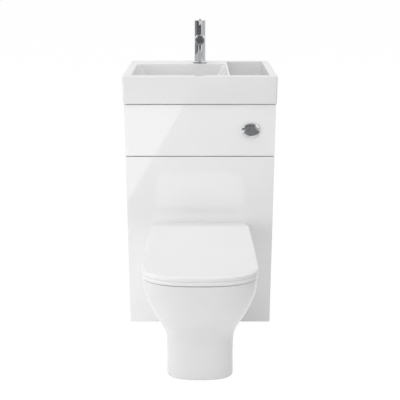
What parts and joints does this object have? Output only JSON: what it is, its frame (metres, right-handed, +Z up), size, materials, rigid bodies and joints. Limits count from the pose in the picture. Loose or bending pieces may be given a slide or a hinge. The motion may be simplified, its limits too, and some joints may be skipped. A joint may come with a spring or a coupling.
{
  "type": "toilet and basin combination unit",
  "caption": "Back-to-wall toilet and hand basin in one unit: gloss cabinet with concealed dual flush cistern, basin with mono tap on top, pan with hinged seat and lid in front.",
  "frame": {"origin": "centre of the bounding box's underside: on the floor, midway between the sides, midway between the wall plane and the front edge of the lid", "axes": "+Z up, front towards -Y, +X to the viewer's right when facing the unit"},
  "size_m": [0.505, 0.842, 1.0529],
  "materials": {
    "white_gloss": "high gloss lacquered board",
    "board": "white melamine faced board",
    "basin_white": "gloss",
    "ceramic": "gloss",
    "seat_white": "gloss thermoset",
    "chrome": "polished",
    "steel": "zinc plated",
    "plastic_white": "moulded",
    "plastic_grey": "moulded",
    "plastic_blue": "moulded",
    "rubber_dark": "matt",
    "indicator_red": "gloss"
  },
  "bodies": {
    "unit": {"side_panel_left": "board", "side_panel_right": "board", "top_front_rail": "board", "middle_rail": "board", "top_back_rail": "board", "bottom_back_rail": "board", "cistern_shelf": "board", "carcass_screws": "steel", "glides": "plastic_grey", "fascia": "white_gloss", "lower_panel": "white_gloss", "fascia_clips": "plastic_white", "panel_clips": "plastic_white", "wall_brackets": "steel", "basin": "basin_white", "basin_waste": "chrome", "waste_gasket": "rubber_dark", "waste_nut": "chrome", "trap_inlet_nut": "plastic_white", "trap_body": "plastic_white", "trap_cup": "plastic_white", "waste_pipe": "plastic_white", "tap_body": "chrome", "tap_base_ring": "chrome", "tap_aerator": "plastic_grey", "tap_cartridge": "plastic_white", "tap_gasket": "rubber_dark", "tap_clamp": "steel", "hot_tail": "steel", "cold_tail": "steel", "tail_clip": "plastic_white", "cistern_tank": "plastic_white", "cistern_lid": "plastic_white", "flush_valve_body": "plastic_grey", "flush_valve_nut": "plastic_white", "fill_valve": "plastic_white", "fill_valve_nut": "plastic_white", "flush_pipe": "plastic_white", "pan_inlet_seal": "rubber_dark", "air_tubes": "plastic_grey", "button_bezel": "chrome", "button_housing": "plastic_white", "button_nut": "plastic_white", "pan_body": "ceramic", "soil_connector": "plastic_white", "floor_brackets": "plastic_white", "hinge_posts": "chrome", "hinge_pins": "steel"},
    "seat": {"seat_ring": "seat_white", "seat_buffers": "rubber_dark"},
    "lid": {"lid": "seat_white", "lid_buffers": "rubber_dark"},
    "tap_handle": {"tap_handle": "chrome", "tap_indicator": "indicator_red"},
    "tap_lever": {"tap_lever": "chrome"},
    "waste_plug": {"waste_plug": "chrome"},
    "button_full": {"button_full": "chrome"},
    "button_half": {"button_half": "chrome"},
    "flush_valve": {"flush_valve_lift": "plastic_blue"},
    "float": {"float_cup": "plastic_blue"}
  },
  "joints": [
    {"name": "seat_hinge", "type": "hinge", "parent": "unit", "child": "seat", "pos_m": [0, -0.035, 0.3965], "axis": [1, 0, 0], "range_deg": [-97, 0]},
    {"name": "lid_hinge", "type": "hinge", "parent": "seat", "child": "lid", "pos_m": [0, -0.035, 0.3965], "axis": [-1, 0, 0], "range_deg": [0, 100]},
    {"name": "tap_swivel", "type": "hinge", "parent": "unit", "child": "tap_handle", "pos_m": [0, 0.378, 1.016], "axis": [0, 0, 1], "range_deg": [-45, 45]},
    {"name": "tap_lift", "type": "hinge", "parent": "tap_handle", "child": "tap_lever", "pos_m": [0, 0.378, 1.016], "axis": [-1, 0, 0], "range_deg": [0, 15]},
    {"name": "waste_plug_slide", "type": "slide", "parent": "unit", "child": "waste_plug", "axis": [0, 0, 1], "range_m": [0, 0.007]},
    {"name": "button_full_press", "type": "slide", "parent": "unit", "child": "button_full", "axis": [0, 1, 0], "range_m": [0, 0.0035], "stiffness_N_per_m": 400},
    {"name": "button_half_press", "type": "slide", "parent": "unit", "child": "button_half", "axis": [0, 1, 0], "range_m": [0, 0.0035], "stiffness_N_per_m": 400},
    {"name": "flush_lift", "type": "slide", "parent": "unit", "child": "flush_valve", "axis": [0, 0, 1], "range_m": [0, 0.02]},
    {"name": "float_slide", "type": "slide", "parent": "unit", "child": "float", "axis": [0, 0, 1], "range_m": [0, 0.06]}
  ],
  "couplings": [
    {"joint": "flush_lift", "follows": "button_full_press", "ratio": 5.7}
  ]
}
